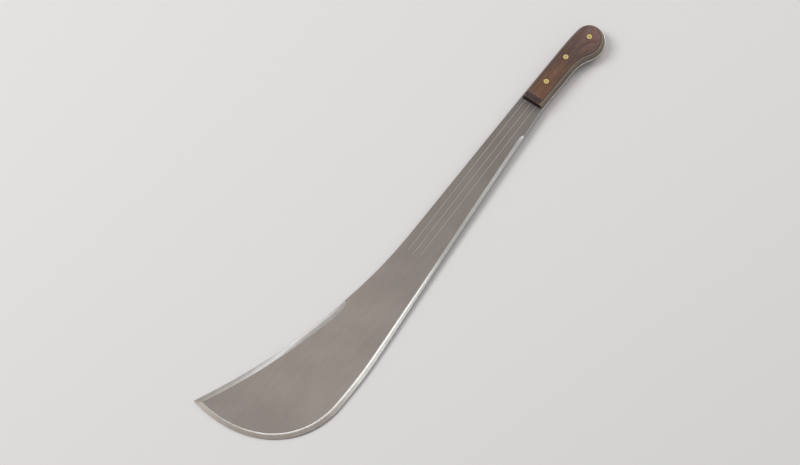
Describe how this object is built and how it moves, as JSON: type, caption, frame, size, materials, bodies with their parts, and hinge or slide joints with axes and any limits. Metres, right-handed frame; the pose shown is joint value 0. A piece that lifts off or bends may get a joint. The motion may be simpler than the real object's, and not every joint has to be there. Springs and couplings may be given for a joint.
{
  "type": "machete",
  "caption": "Machete with an upswept, grooved steel blade, a full tang and riveted wooden scales, for clearing brush.",
  "frame": {"origin": "centre of the bounding box's underside, with the machete lying on its side on the outer face of the lower scale", "axes": "+X along the straight grip from the blade's tip to the pommel, +Y from the edge to the spine, +Z square to the blade, out of the upper scale"},
  "size_m": [0.754, 0.1548, 0.019],
  "materials": {
    "steel": "matte blasted flats with bright ground bevels",
    "handle_wood": "dark, oiled",
    "pin_brass": "peened and sanded flush",
    "washer_brass": "sanded flush"
  },
  "bodies": {
    "root": {"blade": "steel", "upper_scale": "handle_wood", "lower_scale": "handle_wood", "front_pin": "pin_brass", "middle_pin": "pin_brass", "rear_pin": "pin_brass", "front_upper_washer": "washer_brass", "front_lower_washer": "washer_brass", "middle_upper_washer": "washer_brass", "middle_lower_washer": "washer_brass", "rear_upper_washer": "washer_brass", "rear_lower_washer": "washer_brass"}
  },
  "joints": []
}
